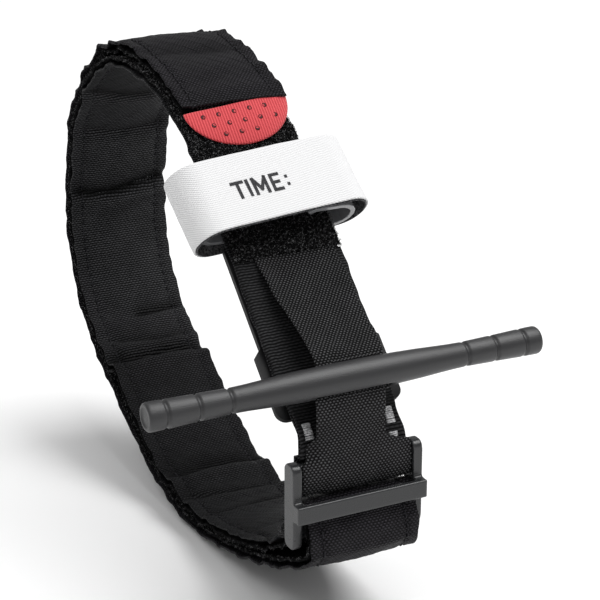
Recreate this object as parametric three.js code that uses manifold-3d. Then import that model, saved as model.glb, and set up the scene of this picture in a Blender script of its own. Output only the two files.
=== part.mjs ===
// Windlass tourniquet: a doubled webbing band with an inner strap that a rod twists tight.
// Millimetres. +X points to the windlass side, +Y along the limb, +Z up.
// The origin is the middle of the limb opening.
import * as THREE from 'three';
import { mergeVertices } from 'three/addons/utils/BufferGeometryUtils.js';
import Module from 'manifold-3d';

const wasm = await Module();
wasm.setup();

// ---------------------------------------------------------------- driving dimensions
const GAP = 0.3;
const BAND_WIDTH = 38;
const PLY = 0.9;
const STRAP = 0.8;
const PULL_STRAP_WIDTH = 28;
const ROD_STRAP_WIDTH = 24.5;

// Levels across the band, measured from its smooth face.
const STRAP_LEVEL = PLY + GAP;
const PILE_LEVEL = STRAP_LEVEL + STRAP + GAP;
const BAND_THICKNESS = PILE_LEVEL + PLY;

// The windlass side is flat: it leaves FRONT_ORIGIN and falls away at FRONT_TILT.
const FRONT_TILT = THREE.MathUtils.degToRad(43);
const FRONT_ORIGIN = new THREE.Vector2(19, 54);
const LIMB_FACE = -2.7;
const FRONT_END = 94;
const PILE_END = 36.6;
const COVER_START = 45;

const PLATE_THICKNESS = 1.8;
const PLATE_START = 31;
const PLATE_END = 91;
const PLATE_WIDTH = 38.6;
const EAR_START = 66;
const EAR_WIDTH = 43.6;
const EAR_RADIUS = 3.5;
const PLATE_OFFSET = 1.2;

const CLIP_START = 5;
const CLIP_LENGTH = 22.5;
const CLIP_BASE_LENGTH = 25.7;
const CLIP_WALL = 1.8;
const CLIP_TOP = 8.9;
const CLIP_SPAN = 20.5;
const CLIP_FLOOR_HALF = 17;
const CLIP_MOUTH = 9.5;
const CLIP_LIP = 1.6;

const TIME_WIDTH = 25;
const TIME_MIDDLE = 16.1;
const TIME_OFFSET = 0.8;
const TIME_SKEW = THREE.MathUtils.degToRad(4.5);
const TIME_HALF_SPAN = 31.7;
const TIME_FRONT = 10.7;
const TIME_BACK = -6.6;
const TIME_PLY = 0.7;
const TIME_LINING = 0.5;
const TIME_HINGE = 18;
const TIME_PLAY = 0.9;
const TIME_OVERLAP = THREE.MathUtils.degToRad(30);

const ROD_STATION = 86.1;
const ROD_HEIGHT = 10;
const ROD_OFFSET = 0.7;
const ROD_LENGTH = 135;
const ROD_SLOT_WIDTH = 26.4;
const ROD_SLOT_HEIGHT = 2.6;
const ROD_SLOT_TILT = THREE.MathUtils.degToRad(51);
const ROD_SIDES = 20;
const EYE_LENGTH = 11.4;

const BUCKLE_WIDTH = 45;
const BUCKLE_OPENING = 38.6;
const BUCKLE_BACK = 90.2;
const BUCKLE_FRONT = 96.6;
const BUCKLE_TOP = -20;
const BUCKLE_BOTTOM = -48.2;
const BUCKLE_CORNER = 2.4;
const TOP_BAR = new THREE.Vector2(92.4, -23.5);
const TOP_BAR_RADIUS = 1.8;
const TOP_BAR_HEIGHT = 5;
const LOOP_PLY = 1;
const LOOP_BACK_LEG = 10;
const LOOP_FRONT_TOP = -17;
const LOWER_BAR = new THREE.Vector2(93, -37.4);
const LOWER_BAR_RADIUS = 1.3;
const LOWER_BAR_BOTTOM = -46;
const FRICTION_BAR_TOP = -32;
const FRICTION_BAR_HEIGHT = 6;
const FRICTION_BAR_THICKNESS = 2;

const TAIL_LENGTH = 48;
const TIP_START = -20;
const TIP_LENGTH = 13.4;
const TIP_THICKNESS = 1;
const TIP_GAP = 0.9;
const TIP_HEIGHT = LIMB_FACE + 2.6;
const TIP_LEAN = THREE.MathUtils.degToRad(-3);
const TACK_WIDTH = 3.5;
const TACK_LENGTH = 4.6;
const TACK_THICKNESS = 0.5;
const TACK_MIDDLE = 15.2;
const UPPER_TACK = 3.4;
const LOWER_TACK = 10.6;
const THREAD = 0.6;
const THREAD_MIDDLE = 14.6;
const THREAD_CLEARANCE = 1.5;
const STITCH_START = -4;
const SHORTEST_STEP = 1.2;
const BOND = 0.5;

// The band is cut where the buckle's swing and the tail's peel need it to hinge.
const FOLD_BACK_REACH = 9;
const FOLD_FRONT_REACH = 12;
const HINGE_CLEARANCE = 2.6;

// ---------------------------------------------------------------- finishes
const finish = (color, roughness, metalness = 0) => ({ color, roughness, metalness });
const WEAVE = finish(0x16161a, 0.85);
const PILE = finish(0x0c0c0e, 0.98);
const THREAD_BLACK = finish(0x202026, 0.8);
const PLASTIC = finish(0x3a3b3d, 0.5);
const PLATE_PLASTIC = finish(0x17181a, 0.45);
const WHITE = finish(0xeeeeec, 0.8);
const RED = finish(0xe5474d, 0.8);
const GREY = finish(0xa6a8aa, 0.75);

const tourniquet = new THREE.Group();
const front = new THREE.Group();
front.position.set(FRONT_ORIGIN.x, 0, FRONT_ORIGIN.y);
front.rotation.y = FRONT_TILT;
tourniquet.add(front);

function addPart(parent, name, geometry, look) {
  const mesh = new THREE.Mesh(geometry, new THREE.MeshStandardMaterial(look));
  mesh.name = name;
  parent.add(mesh);
  return mesh;
}

// ---------------------------------------------------------------- shape helpers
// A point on the windlass side: s runs down the strap, h stands out from it.
function onFront(s, h) {
  const along = new THREE.Vector2(Math.cos(FRONT_TILT), -Math.sin(FRONT_TILT));
  const out = new THREE.Vector2(Math.sin(FRONT_TILT), Math.cos(FRONT_TILT));
  return FRONT_ORIGIN.clone().addScaledVector(along, s).addScaledVector(out, h);
}

function smooth(points, steps) {
  const curve = new THREE.SplineCurve(points.map(([x, z]) => new THREE.Vector2(x, z)));
  return curve.getSpacedPoints(steps);
}

function arc(centre, radius, from, to, steps) {
  const turn = new THREE.EllipseCurve(centre.x, centre.y, radius, radius, from, to, to < from);
  return turn.getPoints(steps);
}

// The stretch of a polyline between two lengths measured along it. Corners that lie
// closer to a cut than SHORTEST_STEP are passed over.
function stretch(path, from, to) {
  const picked = [];
  let run = 0;
  for (let i = 1; i < path.length; i += 1) {
    const step = path[i].distanceTo(path[i - 1]);
    for (const cut of [from, to]) {
      if (cut >= run && cut < run + step) {
        picked.push({ at: cut, point: path[i - 1].clone().lerp(path[i], (cut - run) / step) });
      }
    }
    run += step;
    const clear = Math.min(run - from, to - run) > SHORTEST_STEP;
    if (clear) picked.push({ at: run, point: path[i] });
  }
  if (run <= to) picked.push({ at: to, point: path[path.length - 1] });
  picked.sort((a, b) => a.at - b.at);
  return picked.map(({ point }) => point);
}

function pathLength(path) {
  return path.slice(1).reduce((sum, point, i) => sum + point.distanceTo(path[i]), 0);
}

// The path moved sideways to its right by a constant distance, with mitred corners.
function offset(path, distance) {
  const sides = path.slice(1).map((point, i) => {
    const run = point.clone().sub(path[i]).normalize();
    return new THREE.Vector2(run.y, -run.x);
  });
  return path.map((point, i) => {
    const before = sides[Math.max(i - 1, 0)];
    const after = sides[Math.min(i, sides.length - 1)];
    const side = before.clone().add(after).normalize();
    return point.clone().addScaledVector(side, distance / side.dot(after));
  });
}

function extrude(outline, depth) {
  const shape = Array.isArray(outline) ? new THREE.Shape(outline) : outline;
  return new THREE.ExtrudeGeometry(shape, { depth, bevelEnabled: false, curveSegments: 6 });
}

// A ribbon that follows a path in the XZ plane, between two levels, with its width along Y.
function ribbon(path, low, high, width, middle = 0) {
  const outline = [...offset(path, low), ...offset(path, high).reverse()];
  return extrude(outline, width)
    .translate(0, 0, -width / 2)
    .rotateX(Math.PI / 2)
    .translate(0, middle, 0);
}

function solid(geometry) {
  const bare = geometry.clone();
  bare.deleteAttribute('normal');
  bare.deleteAttribute('uv');
  const merged = mergeVertices(bare, 1e-4);
  const vertProperties = merged.attributes.position.array;
  const triVerts = new Uint32Array(merged.index.array);
  return new wasm.Manifold(new wasm.Mesh({ numProp: 3, vertProperties, triVerts }));
}

function surface(body) {
  const mesh = body.getMesh();
  const geometry = new THREE.BufferGeometry();
  geometry.setAttribute('position', new THREE.BufferAttribute(mesh.vertProperties, 3));
  geometry.setIndex(new THREE.BufferAttribute(mesh.triVerts, 1));
  return geometry;
}

function box(x, y, z) {
  const geometry = new THREE.BoxGeometry(x[1] - x[0], y[1] - y[0], z[1] - z[0]);
  return geometry.translate((x[0] + x[1]) / 2, (y[0] + y[1]) / 2, (z[0] + z[1]) / 2);
}

// ---------------------------------------------------------------- the band's route
// One continuous smooth face: up the windlass side, round the limb, over the lower bar
// and back round the outside to the tail.
const FOLD_RADIUS = LOWER_BAR_RADIUS + GAP + BAND_THICKNESS;
const backOfFold = LOWER_BAR.x - FOLD_RADIUS;
const frontOfFold = LOWER_BAR.x + FOLD_RADIUS;

const buckleEnd = smooth([
  [90.6, -19.8],
  [90.4, -18.2],
  [89.3, -16.1],
  onFront(97, LIMB_FACE).toArray(),
  onFront(FRONT_END, LIMB_FACE).toArray(),
], 8);

const roundLimb = smooth([
  onFront(0, LIMB_FACE).toArray(),
  onFront(-10, LIMB_FACE - 0.7).toArray(),
  onFront(-20, LIMB_FACE - 2.9).toArray(),
  onFront(-29, LIMB_FACE - 5.9).toArray(),
  [-14.5, 69.7], [-28, 71.8], [-42, 72], [-53, 70], [-62, 66], [-71, 59.5],
  [-79, 51], [-86, 41.5], [-90, 32], [-91.5, 22], [-94, 10], [-94, -2],
  [-91, -13], [-86.5, -23], [-79.5, -32], [-69, -39.5], [-57, -46], [-44, -53.5],
  [-30, -61], [-15, -67.5], [0, -71], [15, -71.5], [30, -69.5], [48, -65],
  [64, -59.5], [76, -53.5], [83.5, -47.5], [87.4, -42.6], [backOfFold, -39],
], 72);

const overBar = arc(LOWER_BAR, FOLD_RADIUS, Math.PI, 0, 8);

const roundOutside = smooth([
  [frontOfFold, -39], [99.3, -42], [100.9, -46.5], [100.9, -50], [98, -53.9], [88, -59],
  [74, -65], [60, -70], [45, -74], [30, -77.2], [15, -79.4], [0, -79.2],
  [-18, -75.5], [-35, -68], [-50, -60], [-65, -51.5], [-77.5, -43.5], [-88, -33.5],
  [-94.5, -24], [-98.8, -13], [-101.7, -2], [-101.6, 10], [-99, 23], [-97.5, 34],
  [-93, 46], [-84.5, 57], [-75.5, 66], [-66, 73], [-56, 77.8], [-43, 80.3],
  [-30, 80.3], [-18, 78], [-9.5, 75.6], [-3, 73],
  onFront(-25, LIMB_FACE + 3.8).toArray(),
  onFront(TIP_START, LIMB_FACE + 4.6).toArray(),
], 72);

const bandPath = [...buckleEnd, ...roundLimb, ...overBar, ...roundOutside];
const lengthToFront = pathLength(buckleEnd);
const lengthToBar = pathLength([...buckleEnd, ...roundLimb]);
const bandLength = pathLength(bandPath);
const stationOnBand = (s) => lengthToFront + FRONT_END - s;

const foldStart = lengthToBar - FOLD_BACK_REACH;
const foldEnd = lengthToBar + pathLength(overBar) + FOLD_FRONT_REACH;
const tailStart = bandLength - TAIL_LENGTH;

// ---------------------------------------------------------------- band plies and inner strap
const runs = [
  { name: 'inner_run', from: 0, to: foldStart - HINGE_CLEARANCE },
  { name: 'fold', from: foldStart, to: foldEnd },
  { name: 'outer_run', from: foldEnd + HINGE_CLEARANCE, to: tailStart - GAP },
  { name: 'tail', from: tailStart, to: bandLength },
];
for (const { name, from, to } of runs) {
  const inner = name === 'inner_run';
  const smoothFace = stretch(bandPath, from, to);
  const strapFace = stretch(bandPath, inner ? stationOnBand(PILE_END) : from, to);
  const pileTop = STRAP_LEVEL + STRAP;
  addPart(tourniquet, `${name}_smooth_ply`, ribbon(smoothFace, 0, PLY, BAND_WIDTH), WEAVE);
  addPart(
    tourniquet,
    `${name}_pull_strap`,
    ribbon(strapFace, STRAP_LEVEL, pileTop, PULL_STRAP_WIDTH),
    WEAVE,
  );
  addPart(tourniquet, `${name}_pile_ply`, ribbon(strapFace, PILE_LEVEL, BAND_THICKNESS, BAND_WIDTH), PILE);
}

const coverPath = stretch(bandPath, 0, stationOnBand(COVER_START));
addPart(
  tourniquet,
  'base_cover_ply',
  ribbon(coverPath, STRAP_LEVEL, STRAP_LEVEL + PLY, BAND_WIDTH),
  WEAVE,
);

// Edge stitching stands on the smooth face of each run.
const edges = [['near', -1], ['far', 1]];
const sewn = [
  { name: 'inner_run', from: stationOnBand(STITCH_START), to: foldStart - HINGE_CLEARANCE },
  { name: 'outer_run', from: foldEnd + HINGE_CLEARANCE, to: tailStart - THREAD_CLEARANCE },
  { name: 'tail', from: tailStart + THREAD_CLEARANCE, to: bandLength - GAP },
];
for (const { name, from, to } of sewn) {
  for (const [edge, side] of edges) {
    const line = stretch(bandPath, from, to);
    const thread = ribbon(line, -GAP - THREAD, -GAP, THREAD, side * THREAD_MIDDLE);
    addPart(tourniquet, `${name}_edge_stitch_${edge}`, thread, THREAD_BLACK);
  }
}

// ---------------------------------------------------------------- red tongue on the tail
function redTip() {
  const outline = new THREE.Shape();
  outline.moveTo(0, -BAND_WIDTH / 2);
  outline.absellipse(0, 0, TIP_LENGTH, BAND_WIDTH / 2, -Math.PI / 2, Math.PI / 2, false, 0);
  outline.closePath();
  return new THREE.ExtrudeGeometry(outline, {
    depth: TIP_THICKNESS,
    bevelEnabled: false,
    curveSegments: 20,
  });
}
const tip = addPart(front, 'red_tip', redTip(), RED);
tip.position.set(TIP_START + TIP_GAP, 0, TIP_HEIGHT);
tip.rotation.y = TIP_LEAN;

// ---------------------------------------------------------------- stabilisation plate
function platePlan() {
  const half = PLATE_WIDTH / 2;
  const ear = EAR_WIDTH / 2;
  const step = ear - half;
  const r = EAR_RADIUS;
  const outline = new THREE.Shape();
  outline.moveTo(PLATE_START, -half);
  outline.lineTo(EAR_START, -half);
  outline.lineTo(EAR_START + step, -ear);
  outline.lineTo(PLATE_END - r, -ear);
  outline.absarc(PLATE_END - r, -ear + r, r, -Math.PI / 2, 0, false);
  outline.absarc(PLATE_END - r, ear - r, r, 0, Math.PI / 2, false);
  outline.lineTo(EAR_START + step, ear);
  outline.lineTo(EAR_START, half);
  outline.lineTo(PLATE_START, half);
  outline.closePath();
  return outline;
}
const plate = addPart(front, 'stabilisation_plate', extrude(platePlan(), PLATE_THICKNESS), PLATE_PLASTIC);
plate.position.set(0, PLATE_OFFSET, LIMB_FACE - GAP - PLATE_THICKNESS);

// ---------------------------------------------------------------- windlass clip
// A cross-section in the YZ plane of the windlass side becomes a profile along the strap.
function alongFront(outline, length) {
  return extrude(outline, length).rotateX(Math.PI / 2).rotateZ(Math.PI / 2);
}
function clipSection() {
  const low = LIMB_FACE - GAP - CLIP_WALL / 2;
  const high = CLIP_TOP - CLIP_WALL / 2;
  const radius = (high - low) / 2;
  const middle = (high + low) / 2;
  const nearArm = arc(new THREE.Vector2(-CLIP_SPAN, middle), radius, Math.PI / 2, 1.5 * Math.PI, 8);
  const farArm = arc(new THREE.Vector2(CLIP_SPAN, middle), radius, -Math.PI / 2, Math.PI / 2, 8);
  const lip = CLIP_LIP;
  const centreLine = [
    new THREE.Vector2(-CLIP_MOUTH, high - lip),
    new THREE.Vector2(-CLIP_MOUTH - lip, high),
    ...nearArm,
    ...farArm,
    new THREE.Vector2(CLIP_MOUTH + lip, high),
    new THREE.Vector2(CLIP_MOUTH, high - lip),
  ];
  return [...offset(centreLine, -CLIP_WALL / 2), ...offset(centreLine, CLIP_WALL / 2).reverse()];
}
// The clip's floor runs on past its arms, behind the time strap, to meet the plate.
function windlassClip() {
  const floorTop = LIMB_FACE - GAP;
  const floor = box(
    [CLIP_LENGTH - BOND, CLIP_BASE_LENGTH],
    [-CLIP_FLOOR_HALF, CLIP_FLOOR_HALF],
    [floorTop - CLIP_WALL, floorTop],
  );
  return surface(solid(alongFront(clipSection(), CLIP_LENGTH)).add(solid(floor)));
}
const clip = addPart(front, 'windlass_clip', windlassClip(), PLASTIC);
clip.position.set(CLIP_START, TIME_OFFSET, 0);

// ---------------------------------------------------------------- time strap
// A flattened ring, cut beyond the near end and at the hinge line on its front.
function timeRing(fixed, low, high) {
  const radius = (TIME_FRONT - TIME_BACK) / 2;
  const middle = (TIME_FRONT + TIME_BACK) / 2;
  const near = new THREE.Vector2(-TIME_HALF_SPAN + radius, middle);
  const far = new THREE.Vector2(TIME_HALF_SPAN - radius, middle);
  const cut = Math.PI + TIME_OVERLAP;
  const play = TIME_PLAY / radius;
  const path = fixed
    ? [
      ...arc(near, radius, cut + play, 1.5 * Math.PI, 4),
      ...arc(far, radius, -Math.PI / 2, Math.PI / 2, 12),
      new THREE.Vector2(TIME_HINGE, TIME_FRONT),
    ]
    : [
      new THREE.Vector2(TIME_HINGE - GAP, TIME_FRONT),
      ...arc(near, radius, Math.PI / 2, cut, 8),
    ];
  const outline = [...offset(path, -high), ...offset(path, -low).reverse()];
  return alongFront(outline, TIME_WIDTH).translate(-TIME_WIDTH / 2, 0, 0);
}
const timeStrap = new THREE.Group();
timeStrap.position.set(TIME_MIDDLE, TIME_OFFSET, 0);
timeStrap.rotation.z = TIME_SKEW;
front.add(timeStrap);
const liningLevel = TIME_PLY + GAP;
for (const [name, fixed] of [['time_strap', true], ['time_flap', false]]) {
  addPart(timeStrap, `${name}_face`, timeRing(fixed, 0, TIME_PLY), WHITE);
  const lining = timeRing(fixed, liningLevel, liningLevel + TIME_LINING);
  addPart(timeStrap, `${name}_hook_lining`, lining, PILE);
}

// ---------------------------------------------------------------- windlass rod
// Half of the rod's outline as [distance from its middle, radius], with three grip grooves.
function rodProfile() {
  const half = ROD_LENGTH / 2;
  const groove = (at, r) => [[at - 0.9, r], [at - 0.4, r - 0.55], [at + 0.4, r - 0.55], [at + 0.9, r]];
  return [
    [0, 5], [12, 4.95], [24, 4.6], [34, 4.05],
    ...groove(half - 27, 3.85),
    ...groove(half - 16.5, 4.1),
    ...groove(half - 6, 4.5),
    [half - 0.6, 4.5], [half, 3.9], [half, 0],
  ];
}
function windlassRod() {
  const profile = rodProfile();
  const points = profile.map(([along, r]) => new THREE.Vector2(r, along));
  const mirrored = profile.slice(1).reverse().map(([along, r]) => new THREE.Vector2(r, -along));
  const turned = new THREE.LatheGeometry([...mirrored, ...points], ROD_SIDES);
  const half = ROD_SLOT_WIDTH / 2;
  const slot = box([-10, 10], [-half, half], [-ROD_SLOT_HEIGHT / 2, ROD_SLOT_HEIGHT / 2]);
  return surface(solid(turned).subtract(solid(slot)));
}
const windlass = new THREE.Group();
const rodCentre = onFront(ROD_STATION, ROD_HEIGHT);
windlass.position.set(rodCentre.x, ROD_OFFSET, rodCentre.y);
windlass.rotation.y = ROD_SLOT_TILT;
tourniquet.add(windlass);
addPart(windlass, 'windlass_rod', windlassRod(), PLASTIC);
const halfEye = EYE_LENGTH / 2;
const eye = box([-halfEye, halfEye], [-ROD_STRAP_WIDTH / 2, ROD_STRAP_WIDTH / 2], [-STRAP / 2, STRAP / 2]);
addPart(windlass, 'windlass_strap_eye', eye, WEAVE);

// ---------------------------------------------------------------- windlass strap legs
// Each leg is a flat strap from the band to the rod; the upper one narrows as it rises.
const slotRun = new THREE.Vector2(Math.cos(ROD_SLOT_TILT), -Math.sin(ROD_SLOT_TILT));
const eyeTop = rodCentre.clone().addScaledVector(slotRun, -halfEye - GAP);
const eyeBottom = rodCentre.clone().addScaledVector(slotRun, halfEye + GAP);

function taperedStrap(path, startWidth, endWidth, startMiddle, endMiddle) {
  const geometry = ribbon(path, -STRAP / 2, STRAP / 2, 1);
  const first = path[0];
  const run = path[path.length - 1].clone().sub(first);
  const position = geometry.attributes.position;
  for (let i = 0; i < position.count; i += 1) {
    const here = new THREE.Vector2(position.getX(i), position.getZ(i)).sub(first);
    const t = THREE.MathUtils.clamp(here.dot(run) / run.lengthSq(), 0, 1);
    const width = THREE.MathUtils.lerp(startWidth, endWidth, t);
    position.setY(i, position.getY(i) * width + THREE.MathUtils.lerp(startMiddle, endMiddle, t));
  }
  return geometry;
}
const strapMiddle = LIMB_FACE + STRAP_LEVEL + STRAP / 2;
const upperLeg = smooth([
  onFront(PILE_END + GAP, strapMiddle).toArray(),
  onFront(42, strapMiddle + 0.7).toArray(),
  onFront(50, strapMiddle + 3.3).toArray(),
  onFront(66, strapMiddle + 8.1).toArray(),
  onFront(77, strapMiddle + 11.9).toArray(),
  eyeTop.toArray(),
], 10);
addPart(
  tourniquet,
  'windlass_strap_upper_leg',
  taperedStrap(upperLeg, PULL_STRAP_WIDTH, ROD_STRAP_WIDTH, 3, ROD_OFFSET),
  WEAVE,
);
const lowerLeg = smooth([
  eyeBottom.toArray(),
  [93.6, -6.5],
  [93.9, -13],
  [93.6, -19.8],
], 8);
addPart(
  tourniquet,
  'windlass_strap_lower_leg',
  taperedStrap(lowerLeg, ROD_STRAP_WIDTH, ROD_STRAP_WIDTH, ROD_OFFSET, ROD_OFFSET),
  WEAVE,
);

// ---------------------------------------------------------------- buckle webbing loop
// A doubled webbing that holds the top bar between its legs.
const LOOP_RADIUS = TOP_BAR_RADIUS + GAP;
const loopCentre = TOP_BAR.y - TOP_BAR_HEIGHT / 2 + TOP_BAR_RADIUS;
const backLeg = offset(stretch(bandPath, 0, LOOP_BACK_LEG), -GAP).reverse();
const loopPath = [
  ...backLeg,
  ...arc(new THREE.Vector2(TOP_BAR.x, loopCentre), LOOP_RADIUS, Math.PI, 2 * Math.PI, 8),
  new THREE.Vector2(TOP_BAR.x + LOOP_RADIUS, LOOP_FRONT_TOP),
];
addPart(tourniquet, 'buckle_webbing_loop', ribbon(loopPath, 0, LOOP_PLY, BAND_WIDTH), WEAVE);

// ---------------------------------------------------------------- bar-tacks
const tackTop = STRAP_LEVEL + PLY + GAP;
for (const [place, below] of [['upper', UPPER_TACK], ['lower', LOWER_TACK]]) {
  const from = lengthToFront - below;
  for (const [edge, side] of edges) {
    const seat = stretch(bandPath, from, from + TACK_LENGTH);
    const tack = ribbon(seat, tackTop, tackTop + TACK_THICKNESS, TACK_WIDTH, side * TACK_MIDDLE);
    addPart(tourniquet, `bar_tack_${place}_${edge}`, tack, GREY);
  }
}

// ---------------------------------------------------------------- slide buckle
function barSection(x, top, bottom, radius) {
  const outline = new THREE.Shape();
  outline.absarc(x, top - radius, radius, 0, Math.PI, false);
  outline.absarc(x, bottom + radius, radius, Math.PI, 2 * Math.PI, false);
  outline.closePath();
  return outline;
}
function acrossBuckle(outline, width, middle = 0) {
  return extrude(outline, width)
    .translate(0, 0, -width / 2)
    .rotateX(Math.PI / 2)
    .translate(0, middle, 0);
}
function slideBuckle() {
  const r = BUCKLE_CORNER;
  const rail = new THREE.Shape();
  rail.absarc(BUCKLE_FRONT - r, BUCKLE_TOP - r, r, 0, Math.PI / 2, false);
  rail.absarc(BUCKLE_BACK + r, BUCKLE_TOP - r, r, Math.PI / 2, Math.PI, false);
  rail.absarc(BUCKLE_BACK + r, BUCKLE_BOTTOM + r, r, Math.PI, 1.5 * Math.PI, false);
  rail.absarc(BUCKLE_FRONT - r, BUCKLE_BOTTOM + r, r, 1.5 * Math.PI, 2 * Math.PI, false);
  rail.closePath();
  const railWidth = (BUCKLE_WIDTH - BUCKLE_OPENING) / 2;
  const railMiddle = (BUCKLE_WIDTH - railWidth) / 2;
  const half = BUCKLE_WIDTH / 2;
  const between = BUCKLE_OPENING + 2 * BOND;
  const topBar = TOP_BAR_HEIGHT / 2;
  const frictionBack = LOWER_BAR.x + FOLD_RADIUS + GAP;
  const frictionFront = frictionBack + FRICTION_BAR_THICKNESS;
  const frictionRange = [FRICTION_BAR_TOP - FRICTION_BAR_HEIGHT, FRICTION_BAR_TOP];
  const shoulder = (side) => {
    const sideRange = [side * half, side * (half - railWidth)].sort((a, b) => a - b);
    return solid(box([BUCKLE_FRONT - BOND, frictionFront], sideRange, frictionRange));
  };
  const pieces = [
    solid(acrossBuckle(rail, railWidth, -railMiddle)),
    solid(acrossBuckle(rail, railWidth, railMiddle)),
    solid(acrossBuckle(
      barSection(TOP_BAR.x, TOP_BAR.y + topBar, TOP_BAR.y - topBar, TOP_BAR_RADIUS),
      between,
    )),
    solid(acrossBuckle(
      barSection(LOWER_BAR.x, LOWER_BAR.y + LOWER_BAR_RADIUS, LOWER_BAR_BOTTOM, LOWER_BAR_RADIUS),
      between,
    )),
    solid(box([frictionBack, frictionFront], [-half, half], frictionRange)),
    shoulder(-1),
    shoulder(1),
  ];
  return surface(pieces.reduce((whole, piece) => whole.add(piece)));
}
addPart(tourniquet, 'slide_buckle', slideBuckle(), PLASTIC);

export default tourniquet;
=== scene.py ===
"""Looks of a windlass tourniquet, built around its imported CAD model.

Lengths in this file are millimetres in the row frame until a mesh is made.
A station is a length along the band, measured on its smooth face from the buckle's top bar.
"""
import math

import bmesh
import bpy
import numpy as np
from mathutils import Matrix, Vector


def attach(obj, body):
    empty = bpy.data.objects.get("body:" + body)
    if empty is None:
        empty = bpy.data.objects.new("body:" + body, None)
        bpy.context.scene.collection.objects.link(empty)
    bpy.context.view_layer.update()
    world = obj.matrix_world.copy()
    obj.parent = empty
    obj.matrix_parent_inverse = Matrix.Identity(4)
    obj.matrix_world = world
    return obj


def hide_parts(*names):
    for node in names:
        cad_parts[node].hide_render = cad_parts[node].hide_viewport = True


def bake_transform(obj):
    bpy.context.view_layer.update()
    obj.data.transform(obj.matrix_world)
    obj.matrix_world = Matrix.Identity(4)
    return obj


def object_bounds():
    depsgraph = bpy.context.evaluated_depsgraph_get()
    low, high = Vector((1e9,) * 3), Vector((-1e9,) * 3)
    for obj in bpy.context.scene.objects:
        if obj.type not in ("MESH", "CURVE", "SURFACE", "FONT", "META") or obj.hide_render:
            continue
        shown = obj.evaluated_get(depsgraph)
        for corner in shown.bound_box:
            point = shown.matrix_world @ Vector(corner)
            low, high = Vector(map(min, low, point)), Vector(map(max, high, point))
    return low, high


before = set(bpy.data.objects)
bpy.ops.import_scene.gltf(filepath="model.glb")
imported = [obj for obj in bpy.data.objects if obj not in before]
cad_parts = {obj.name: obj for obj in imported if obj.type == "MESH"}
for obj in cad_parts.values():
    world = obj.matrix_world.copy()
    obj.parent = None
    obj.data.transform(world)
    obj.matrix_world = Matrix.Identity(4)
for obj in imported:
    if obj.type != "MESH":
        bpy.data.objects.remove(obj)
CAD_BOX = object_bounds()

MM = 0.001

# ---------------------------------------------------------------- the same dimensions as the CAD
FRONT_TILT = math.radians(43)
FRONT_ORIGIN = np.array([19.0, 54.0])
ALONG = np.array([math.cos(FRONT_TILT), -math.sin(FRONT_TILT)])
OUT = np.array([math.sin(FRONT_TILT), math.cos(FRONT_TILT)])
LIMB_FACE = -2.7
FRONT_END = 94
PLY = 0.9
STRAP_LEVEL = 1.2
STRAP = 0.8
PILE_LEVEL = 2.3
BAND_TOP = 3.2
HALF_BAND = 19
HALF_STRAP = 14
PILE_END = 36.6
TIME_MIDDLE = 16.1
TIME_OFFSET = 0.8
TIME_SKEW = math.radians(4.5)
TIME_HALF_SPAN = 31.7
TIME_FRONT = 10.7
TIME_BACK = -6.6
TIME_WIDTH = 25
TIME_HINGE = 18
ROD_AXIS = (86.1, 10.0)
ROD_OFFSET = 0.7
ROD_HALF = 67.5
ROD_TILT = math.radians(51)
TIP_START = -20
STITCH_LINE = 14.6
STITCH_PITCH = 3.4
PILE_HALF = 18.8
SLOT_WIDE = 26.4
SLOT_HIGH = 2.6


def on_front(s, h):
    """A point of the XZ plane, s down the windlass side and h out from it."""
    return FRONT_ORIGIN + s * ALONG + h * OUT


# ---------------------------------------------------------------- lines
def spline(points, steps, dense=40):
    """Evenly spaced points on a Catmull-Rom curve."""
    p = np.array(points, float)
    n = len(p)
    t = np.linspace(0, 1, dense, endpoint=False)[:, None]
    parts = []
    for k in range(n - 1):
        before, a, b, after = p[max(k - 1, 0)], p[k], p[k + 1], p[min(k + 2, n - 1)]
        leave, arrive = (b - before) / 2, (after - a) / 2
        cubic = (2 * a - 2 * b + leave + arrive) * t**3
        parts.append(cubic + (3 * b - 3 * a - 2 * leave - arrive) * t**2 + leave * t + a)
    return resample(np.concatenate(parts + [p[-1:]]), steps)


def lengths(line):
    return np.concatenate([[0], np.cumsum(np.linalg.norm(np.diff(line, axis=0), axis=1))])


def resample(line, steps):
    run = lengths(line)
    at = np.linspace(0, run[-1], steps + 1)
    return np.stack([np.interp(at, run, line[:, k]) for k in range(line.shape[1])], 1)


def arc(centre, radius, start, end, steps):
    a = np.linspace(start, end, steps + 1)
    return np.array(centre) + radius * np.stack([np.cos(a), np.sin(a)], 1)


class Route:
    """A line of 2-D points, softened at its corners, with a normal to its right."""

    def __init__(self, points, soften=1.6, step=0.25):
        points = np.array(points, float)
        steps = int(lengths(points)[-1] / step)
        line = resample(points, steps)
        reach = int(3 * soften / step)
        kernel = np.exp(-((np.arange(-reach, reach + 1) * step / soften) ** 2) / 2)
        kernel /= kernel.sum()
        head = 2 * line[0] - line[reach:0:-1]
        foot = 2 * line[-1] - line[-2 : -reach - 2 : -1]
        wide = np.concatenate([head, line, foot])
        self.line = np.stack([np.convolve(wide[:, k], kernel, "valid") for k in (0, 1)], 1)
        self.at = np.linspace(0, lengths(points)[-1], steps + 1)
        self.long = self.at[-1]
        run = np.gradient(self.line, axis=0)
        run /= np.linalg.norm(run, axis=1)[:, None]
        self.side = np.stack([run[:, 1], -run[:, 0]], 1)

    def place(self, station, level):
        """Points (..., 2) at those stations and levels, which may be arrays of one shape."""
        p = [np.interp(station, self.at, self.line[:, k]) for k in (0, 1)]
        n = [np.interp(station, self.at, self.side[:, k]) for k in (0, 1)]
        return np.stack([p[0] + n[0] * level, p[1] + n[1] * level], -1)


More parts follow.
